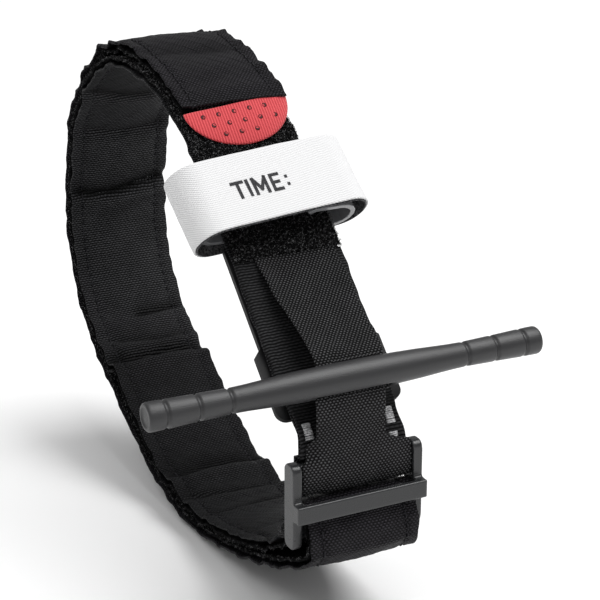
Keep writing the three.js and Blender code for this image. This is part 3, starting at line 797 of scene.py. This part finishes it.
# Curled pile over the windlass side, between the red tip and the windlass strap.
draw = np.random.default_rng(7)
patch = 9000
s = draw.uniform(-24, PILE_END + 0.6, patch) + draw.normal(0, 0.4, patch)
y = draw.uniform(-PILE_HALF, PILE_HALF, patch)
u = station(s)
loops = curls(BAND, u, y, BAND_TOP + pile_rise(u, y) - 0.1, 0.42, 8)
settle(tubes("pile_patch", loops, 0.075, LOOPS, 3), ON_BAND, slot="pile")

# Shorter curls under the tail and on the tail's own underside, seen when it is peeled off.
under_tail = np.random.default_rng(17)
for name, first, last, motion in (
    ("pile_under_tail", station(-23), station(-72), ON_BAND),
    ("pile_on_tail", BAND_END - 48, BAND_END - 0.5, TO_TAIL),
):
    u = under_tail.uniform(first, last, 4500)
    y = under_tail.uniform(-PILE_HALF, PILE_HALF, 4500)
    loops = curls(BAND, u, y, BAND_TOP + pile_rise(u, y) - 0.1, 0.36, 18)
    settle(tubes(name, loops, 0.07, LOOPS, 3), motion, slot="pile")

# Longer pile over the lower bar.
count = 9500
u = draw.uniform(BAR_TOP - 9, BAR_TOP + 6, count)
y = draw.uniform(-PILE_HALF, 19.4, count)
loops = curls(BAND, u, y, smooth_rise(u, y) + 0.15, -2.0, 9)
settle(tubes("pile_fold", loops, 0.07, LOOPS, 3), ("buckle",), slot="pile")

# ---------------------------------------------------------------- windlass strap
ROD_CENTRE = on_front(*ROD_AXIS)
SLOT_RUN = np.array([math.cos(ROD_TILT), -math.sin(ROD_TILT)])
strap_level = LIMB_FACE + STRAP_LEVEL + STRAP / 2
EYE_HALF = 5.7


def strap_edge(points):
    at, value = np.array(points, float).T
    return lambda u: np.interp(u, at, value)


upper = Route(np.concatenate([
    spline([
        on_front(33, strap_level + 0.5), on_front(37, strap_level + 0.9), on_front(42, strap_level + 1.5),
        on_front(50, strap_level + 3.7), on_front(66, strap_level + 8.3), on_front(77, strap_level + 11.9),
        ROD_CENTRE - SLOT_RUN * EYE_HALF,
    ], 60),
    [ROD_CENTRE - SLOT_RUN * 3, ROD_CENTRE],
]), soften=1.2)


def upper_rise(u, y):
    t = u / upper.long
    side = (y - 2.5) / 13
    crown = 0.7 * np.sin(math.pi * t) * (1 - side**2)
    fold = -0.9 * bump(u, 13, 9) * bump(y, -9.5, 2.5)
    return crown + fold + 0.25 * noise(u + 1.2 * y, 61, 22) + 0.5 * bump(t, 0.8, 0.1) * side


upper_left = strap_edge([
    (0, -10.4), (8, -10.6), (18, -10.6), (26, -9.6), (34, -9.0), (44, -9.3), (upper.long, -9.6),
])
upper_right = strap_edge([
    (0, 18.2), (14, 17.8), (26, 16.2), (34, 15.2), (40, 15.6), (46, 14.8), (upper.long, 12.9),
])
settle(
    strip(
        "windlass_strap_upper", upper, np.linspace(0, upper.long, 70), upper_left, upper_right,
        -STRAP / 2, STRAP / 2, STRAP_WEB, upper_rise, 34,
    ),
    ("band", "windlass", tuple(np.insert(on_front(60, 6), 1, 0)), tuple(np.insert(ROD_CENTRE - SLOT_RUN * 5, 1, 0))),
    "windlass_strap_upper_leg", slot="webbing", flat=(28, upper.long),
)

lower = Route(np.concatenate([
    [ROD_CENTRE, ROD_CENTRE + SLOT_RUN * 3],
    spline([
        ROD_CENTRE + SLOT_RUN * EYE_HALF, (93.5, -6.5), (93.7, -12), (94.2, -17), (95.0, -22), (95.3, -26.5),
        (94.4, -31.0), (91.8, -30.8), (90.1, -25.8), (89.6, -22), (89.8, -19.5),
    ], 60),
]), soften=1.0)
swell = strap_edge([(0, 0), (8, 0), (12, 0.2), (20, 0.6), (26, 0.9), (34, 0.8), (40, 0)])


def lower_rise(u, y):
    side = (y - ROD_OFFSET) / 19
    pocket = -1.3 * bump(u, 21.5, 3.2) * bump(y, -15.5, 2.6)
    return -(swell(u) * (1 - side**2) + pocket + 0.18 * noise(u + 0.8 * y, 63, 14))


lower_left = strap_edge([
    (0, -12.3), (6, -12.8), (14, -13.4), (17.3, -13.6), (18.6, -16.4), (23, -16.7), (25.2, -18.6), (60, -19),
])
lower_right = strap_edge([
    (0, 12.2), (6, 11.2), (13, 10.4), (19.5, 10.4), (21.2, 12.6), (23, 19.2), (27, 19.2), (60, 19),
])
settle(
    strip(
        "windlass_strap_lower", lower, np.linspace(0, lower.long, 70), lower_left, lower_right,
        -STRAP / 2, STRAP / 2, STRAP_WEB, lower_rise, 40,
    ),
    ("band", "windlass", (94.5, 0, -15), (91, 0, -2)),
    "windlass_strap_lower_leg", "buckle_webbing_loop", slot="webbing", flat=(38, lower.long),
)

eye_route = Route([ROD_CENTRE - SLOT_RUN * EYE_HALF, ROD_CENTRE + SLOT_RUN * EYE_HALF], soften=0.4)
settle(
    strip("windlass_eye", eye_route, np.linspace(0, eye_route.long, 10), -9.2, 12.6, -0.38, 0.38, STRAP_WEB, None, 12),
    ("windlass",), "windlass_strap_eye", slot="webbing",
)

# ---------------------------------------------------------------- bar tacks
for place, below in (("upper", 4.5), ("lower", 11.5)):
    for edge, side in (("near", -1), ("far", 1)):
        first = TO_FRONT - below
        u = np.arange(first, first + 4.6, 0.52)
        t = np.linspace(-1, 1, 7)[None]
        y = side * (13.7 if side > 0 else 14.6) + 1.4 * t + 0 * u[:, None]
        uu = u[:, None] + 0.08 * np.sin(u[:, None] * 9) + 0 * t
        level = STRAP_LEVEL + PLY + cover_rise(uu, y) + 0.22 - 0.4 * np.abs(t) ** 4
        name = f"bar_tack_{place}_{edge}"
        tack = tubes(f"{name}_stitches", on_strip(BAND, uu, y, level), 0.3, GREY_THREAD, 6)
        settle(tack, ON_BAND, name, slot="grey_thread")


# ---------------------------------------------------------------- time strap
def in_front(s, y, h):
    """Row-frame points of places on the windlass side, which may be arrays."""
    s, y, h = np.broadcast_arrays(np.asarray(s, float), np.asarray(y, float), np.asarray(h, float))
    xz = FRONT_ORIGIN + s[..., None] * ALONG + h[..., None] * OUT
    return np.stack([xz[..., 0], y, xz[..., 1]], -1)


def in_time(x, y, h):
    """Row-frame points of places on the time strap, which is turned a little on the front."""
    c, n = math.cos(TIME_SKEW), math.sin(TIME_SKEW)
    return in_front(TIME_MIDDLE + x * c - y * n, TIME_OFFSET + x * n + y * c, h)


RING_RADIUS = (TIME_FRONT - TIME_BACK) / 2
RING_MIDDLE = (TIME_FRONT + TIME_BACK) / 2
NEAR_END = -TIME_HALF_SPAN + RING_RADIUS
FAR_END = TIME_HALF_SPAN - RING_RADIUS
OVERLAP = math.radians(30)
TIME_BULGE = 0.8


def ring_route(fixed):
    if fixed:
        parts = [
            arc((NEAR_END, RING_MIDDLE), RING_RADIUS, math.pi + OVERLAP + 0.1, 1.5 * math.pi, 12),
            arc((FAR_END, RING_MIDDLE), RING_RADIUS, -math.pi / 2, math.pi / 2, 24),
            [(TIME_HINGE + 1.5, TIME_FRONT)],
        ]
    else:
        parts = [
            [(TIME_HINGE + 1.5, TIME_FRONT)],
            arc((NEAR_END, RING_MIDDLE), RING_RADIUS, math.pi / 2, math.pi + OVERLAP, 24),
        ]
    return Route(np.concatenate(parts), soften=1.0)


def time_piece(name, fixed, inset, thick, material, wide):
    """A ply of the time strap: a ring with its width along x, bulged on its front."""
    route = ring_route(fixed)
    u = np.linspace(0, route.long, int(route.long / 0.9))
    v = columns(22)
    x = (v - 0.5) * wide
    uu, xx = np.meshgrid(u, x, indexing="ij")
    edge = np.minimum(v, 1 - v) * wide
    round_off = np.sqrt(np.clip(1 - (1 - np.clip(edge / (thick / 2), 0, 1)) ** 2, 0.02, 1))[None]
    flat = route.place(uu, 0 * uu)
    front = np.clip((flat[..., 1] - RING_MIDDLE) / RING_RADIUS, 0, 1) ** 2
    bow = TIME_BULGE * front * (1 - (flat[..., 0] / TIME_HALF_SPAN) ** 2) + 0.12 * noise(flat[..., 0] + xx, 71, 26)
    skins = []
    for side in (-1, 1):
        level = bow - inset - thick / 2 + side * thick / 2 * round_off
        place = route.place(uu, level)
        skins.append(in_time(xx, place[..., 0], place[..., 1]).reshape(-1, 3))
    faces, seam = ply_faces(uu.shape)
    uv = np.tile(np.stack([xx, uu], -1).reshape(-1, 2), (2, 1))
    piece = face_out(build(name, np.concatenate(skins), faces, material, uv, seam=seam))
    return piece, route.long


hinge_from = tuple(in_time(0, TIME_HINGE + 2.5, TIME_FRONT))
hinge_to = tuple(in_time(0, TIME_HINGE - 8, TIME_FRONT))
for part, fixed in (("time_strap", True), ("time_flap", False)):
    motion = ON_BAND if fixed else ("band", "time_flap", hinge_from, hinge_to)
    face, long = time_piece(f"{part}_white", fixed, 0, 0.75, WHITE, TIME_WIDTH)
    settle(face, motion, f"{part}_face", slot="white_webbing", flat=(TIME_WIDTH, long))
    back, long = time_piece(f"{part}_lining", fixed, 0.85, 0.5, LINING, TIME_WIDTH + 0.6)
    settle(back, motion, f"{part}_hook_lining", slot="hook_lining", flat=(TIME_WIDTH, long))

# The word is printed on the flap, in straight strokes: ends of each stroke, along and up.
LETTER_HIGH = 5.4
STROKE = 1.05
STROKES = [
    ((0, 1), (3.6, 1)), ((1.8, 0), (1.8, 1)), ((5.2, 0), (5.2, 1)),
    ((7.3, 0), (7.3, 1)), ((7.3, 1), (9.4, 0.25)), ((9.4, 0.25), (11.5, 1)), ((11.5, 0), (11.5, 1)),
    ((13.7, 0), (13.7, 1)), ((13.7, 1), (16.4, 1)), ((13.7, 0.5), (16, 0.5)), ((13.7, 0), (16.4, 0)),
    ((19, 0.2), (19.01, 0.2)), ((19, 0.72), (19.01, 0.72)),
]
WORD_START = -15.2
WORD_FOOT = 3.4


def time_bow(y):
    return TIME_BULGE * (1 - (y / TIME_HALF_SPAN) ** 2) + 0.12 * noise(y, 71, 26)


points, faces = [], []
for a, b in STROKES:
    a, b = np.array([a[0], a[1] * LETTER_HIGH]), np.array([b[0], b[1] * LETTER_HIGH])
    run = (b - a) / np.linalg.norm(b - a)
    a, b = a - run * STROKE * 0.45, b + run * STROKE * 0.45
    cross = np.array([-run[1], run[0]]) * STROKE / 2
    pieces = 6
    n = len(points)
    for k in range(pieces + 1):
        middle = a + (b - a) * k / pieces
        for corner in (middle - cross, middle + cross):
            y = WORD_START + corner[0]
            for lift in (-0.2, 0.14):
                points.append(in_time(WORD_FOOT - corner[1], y, TIME_FRONT + time_bow(y) + lift))
    for k in range(pieces):
        at = n + 4 * k
        for p, q in ((0, 1), (1, 3), (3, 2), (2, 0)):
            faces.append((at + p, at + q, at + 4 + q, at + 4 + p))
    faces += [(n, n + 2, n + 3, n + 1), (at + 4, at + 5, at + 7, at + 6)]
settle(build("time_letters", points, faces, INK, smooth=False), ("time_flap",))

# ---------------------------------------------------------------- red tip
TIP_LONG = 15.4
TIP_HALF = 19.0


def red_tip():
    rows, cols = 30, 64
    r = np.linspace(0, 1, rows)[:, None]
    a = np.linspace(-math.pi / 2, math.pi / 2, cols)[None]
    y = TIP_HALF * r * np.sin(a)
    s = TIP_LONG * r * np.cos(a)
    slant = 0.075 * y * (1 - s / TIP_LONG)
    crown = 0.7 * (1 - r**2) + 0.25 * np.sin(y / 5)
    thick = 0.45 * np.sqrt(np.clip(1 - r**14, 0.02, 1))
    base = LIMB_FACE + 3.3 + 0.02 * s
    skins = [
        in_front(TIP_START + 0.6 + s - slant, y + 2.4, base + crown + side * thick).reshape(-1, 3)
        for side in (-1, 1)
    ]
    index = np.arange(rows * cols).reshape(rows, cols)
    faces = shell_faces(index, ((index[-1], False), (index[:, 0][::-1], False), (index[:, -1], False)))
    uv = np.tile(np.stack([y, s], -1).reshape(-1, 2), (2, 1))
    return face_out(build("red_tongue", np.concatenate(skins), faces, RED, uv), 1e-6)


settle(red_tip(), ("tail",), "red_tip", slot="red_webbing")

WELD_SIDES = 8
WELD_RADIUS = 0.9
weld_turn = np.linspace(0, 2 * math.pi, WELD_SIDES + 1)[:-1]
weld_ring = [(WELD_RADIUS * math.cos(a), WELD_RADIUS * math.sin(a)) for a in weld_turn]
centres = []
for row, (s, count) in enumerate(((2.8, 5), (6.7, 5), (10.6, 3))):
    for k in range(count):
        y = (k - (count - 1) / 2) * 5.6 + (-1.6, 1.1, -1.4)[row]
        y_over = y / TIP_HALF
        r2 = y_over**2 + (s / TIP_LONG) ** 2
        top = LIMB_FACE + 3.3 + 0.02 * s + 0.7 * (1 - r2) + 0.25 * math.sin(y / 5) + 0.45
        centres.append(in_front(TIP_START + 0.6 + s - 0.075 * y * (1 - s / TIP_LONG), y + 2.4, top))
points, faces = [], []
for centre in centres:
    n = len(points)
    for level, scale in ((-0.25, 1.0), (0.06, 0.95), (0.0, 0.55)):
        for ds, dy in weld_ring:
            x, z = ds * scale * ALONG + level * OUT
            points.append(centre + np.array([x, 0, z]) + np.array([0, dy * scale, 0]))
    for at in (n, n + WELD_SIDES):
        for k in range(WELD_SIDES):
            after = (k + 1) % WELD_SIDES
            faces.append((at + k, at + after, at + WELD_SIDES + after, at + WELD_SIDES + k))
    faces.append(tuple(n + 2 * WELD_SIDES + k for k in range(WELD_SIDES)))
    faces.append(tuple(n + k for k in reversed(range(WELD_SIDES))))
settle(build("red_tongue_welds", points, faces, WELD), ("tail",), slot="red_webbing")


# ---------------------------------------------------------------- rod
def rod():
    half = ROD_HALF
    side = [(0, 5.0), (8, 4.98), (16, 4.88), (24, 4.6), (30, 4.28), (35, 4.04), (38.5, 3.95)]
    for at, r in ((half - 27, 3.9), (half - 16.5, 4.12), (half - 6, 4.4)):
        side += [(at - 1.15, r + 0.03), (at - 0.75, r - 0.02), (at - 0.45, r - 0.4), (at, r - 0.62)]
        side += [(at + 0.45, r - 0.4), (at + 0.75, r + 0.0), (at + 1.15, r + 0.06)]
    side += [(half - 3, 4.5), (half - 1.1, 4.5), (half - 0.5, 4.38), (half - 0.12, 4.05), (half, 3.55)]
    side += [(half - 0.1, 3.2), (half - 0.35, 2.9), (half - 0.4, 1.4), (half - 0.4, 0.02)]
    profile = [(-a, r) for a, r in side[:0:-1]] + side
    sides = 64
    a = np.arange(sides) / sides * 2 * math.pi
    points = np.array([[r * math.cos(t), along, r * math.sin(t)] for along, r in profile for t in a])
    index = np.arange(len(points)).reshape(len(profile), sides)
    nxt = np.roll(index, -1, axis=1)
    faces = np.stack([index[:-1], index[1:], nxt[1:], nxt[:-1]], -1).reshape(-1, 4).tolist()
    faces += [index[0].tolist(), index[-1, ::-1].tolist()]
    c, n = math.cos(ROD_TILT), math.sin(ROD_TILT)
    across, out = points[:, 0], points[:, 2]
    turned = np.stack([across * c + out * n, points[:, 1], -across * n + out * c], -1)
    turned += (ROD_CENTRE[0], ROD_OFFSET, ROD_CENTRE[1])
    piece = build("rod", turned, faces, ROD_PLASTIC)
    slot = bpy.data.meshes.new("slot")
    cutter = bpy.data.objects.new("slot", slot)
    mesh = bmesh.new()
    bmesh.ops.create_cube(mesh, size=1.0)
    bmesh.ops.scale(mesh, vec=(20 * MM, SLOT_WIDE * MM, SLOT_HIGH * MM), verts=mesh.verts)
    bmesh.ops.bevel(mesh, geom=mesh.edges, offset=0.5 * MM, segments=3, affect="EDGES")
    bmesh.ops.rotate(mesh, matrix=Matrix.Rotation(ROD_TILT, 3, "Y"), verts=mesh.verts)
    bmesh.ops.translate(mesh, vec=Vector((ROD_CENTRE[0], ROD_OFFSET, ROD_CENTRE[1])) * MM, verts=mesh.verts)
    mesh.to_mesh(slot)
    mesh.free()
    bpy.context.scene.collection.objects.link(cutter)
    cut = piece.modifiers.new("slot", "BOOLEAN")
    cut.object = cutter
    cut.operation = "DIFFERENCE"
    bpy.context.view_layer.update()
    done = bpy.data.meshes.new_from_object(piece.evaluated_get(bpy.context.evaluated_depsgraph_get()))
    piece.modifiers.clear()
    piece.data = done
    bpy.data.objects.remove(cutter)
    return piece


settle(rod(), ("windlass",), "windlass_rod", slot="rod_plastic")

# ---------------------------------------------------------------- mouldings carried over
for node, material, width in (("windlass_clip", CLIP_PLASTIC, 0.35), ("stabilisation_plate", PLATE_PLASTIC, 0.5)):
    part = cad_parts[node]
    part.data.materials.clear()
    part.data.materials.append(material)
    weld = part.modifiers.new("weld", "WELD")
    weld.merge_threshold = 0.002 * MM
    soft = part.modifiers.new("soft_edges", "BEVEL")
    soft.width = width * MM
    soft.segments = 4
    soft.limit_method = "ANGLE"
    soft.angle_limit = math.radians(35)
    soft.harden_normals = True

# The buckle's edges are rounder than a bevel makes them: it is remeshed finely and relaxed.
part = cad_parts["slide_buckle"]
part.data.materials.clear()
part.data.materials.append(BUCKLE_PLASTIC)
fine = part.modifiers.new("fine", "REMESH")
fine.mode = "VOXEL"
fine.voxel_size = 0.3 * MM
fine.use_smooth_shade = True
relaxed = part.modifiers.new("relaxed", "SMOOTH")
relaxed.factor = 0.5
relaxed.iterations = 16

# ---------------------------------------------------------------- stage, light and camera
low = min(v.z for v in CAD_BOX)
FLOOR_HALF = 4000
FLOOR_GAP = 1.5
pale = Look("pale_floor", 0.9, specular=0.1)
pale.shader.inputs["Base Color"].default_value = (0.93, 0.93, 0.93, 1)
corners = [(x * FLOOR_HALF, y * FLOOR_HALF, low / MM - FLOOR_GAP) for x, y in ((-1, -1), (1, -1), (1, 1), (-1, 1))]
floor = build("floor", corners, [(0, 1, 2, 3)], pale.material, smooth=False)

world = bpy.data.worlds.new("studio")
bpy.context.scene.world = world
world.use_nodes = True
background = world.node_tree.nodes["Background"]
background.inputs[0].default_value = (1, 1, 1, 1)
background.inputs[1].default_value = 0.4


def softbox(name, place, size, power):
    light = bpy.data.lights.new(name, "AREA")
    light.shape = "RECTANGLE"
    light.size, light.size_y = size
    light.energy = power
    lamp = bpy.data.objects.new(name, light)
    bpy.context.scene.collection.objects.link(lamp)
    lamp.location = place
    lamp.rotation_mode = "QUATERNION"
    lamp.rotation_quaternion = (-Vector(place)).to_track_quat("-Z", "Y")


softbox("overhead", (0.35, 0.95, 2.5), (2.3, 2.3), 84)
softbox("key", (0.35, -0.5, 0.8), (0.35, 0.35), 1.6)

camera = bpy.data.cameras.new("camera")
camera.lens = 120
camera.sensor_width = 36
camera.clip_start, camera.clip_end = 0.01, 20
eye = bpy.data.objects.new("camera", camera)
bpy.context.scene.collection.objects.link(eye)
CAMERA_BACK = Vector((0.8333, -0.4264, 0.3518))
eye.location = (0.5813, -0.2683, 0.2384)
eye.rotation_mode = "QUATERNION"
eye.rotation_quaternion = (-CAMERA_BACK).to_track_quat("-Z", "Y")
bpy.context.scene.camera = eye

bpy.context.scene.view_settings.view_transform = "Standard"
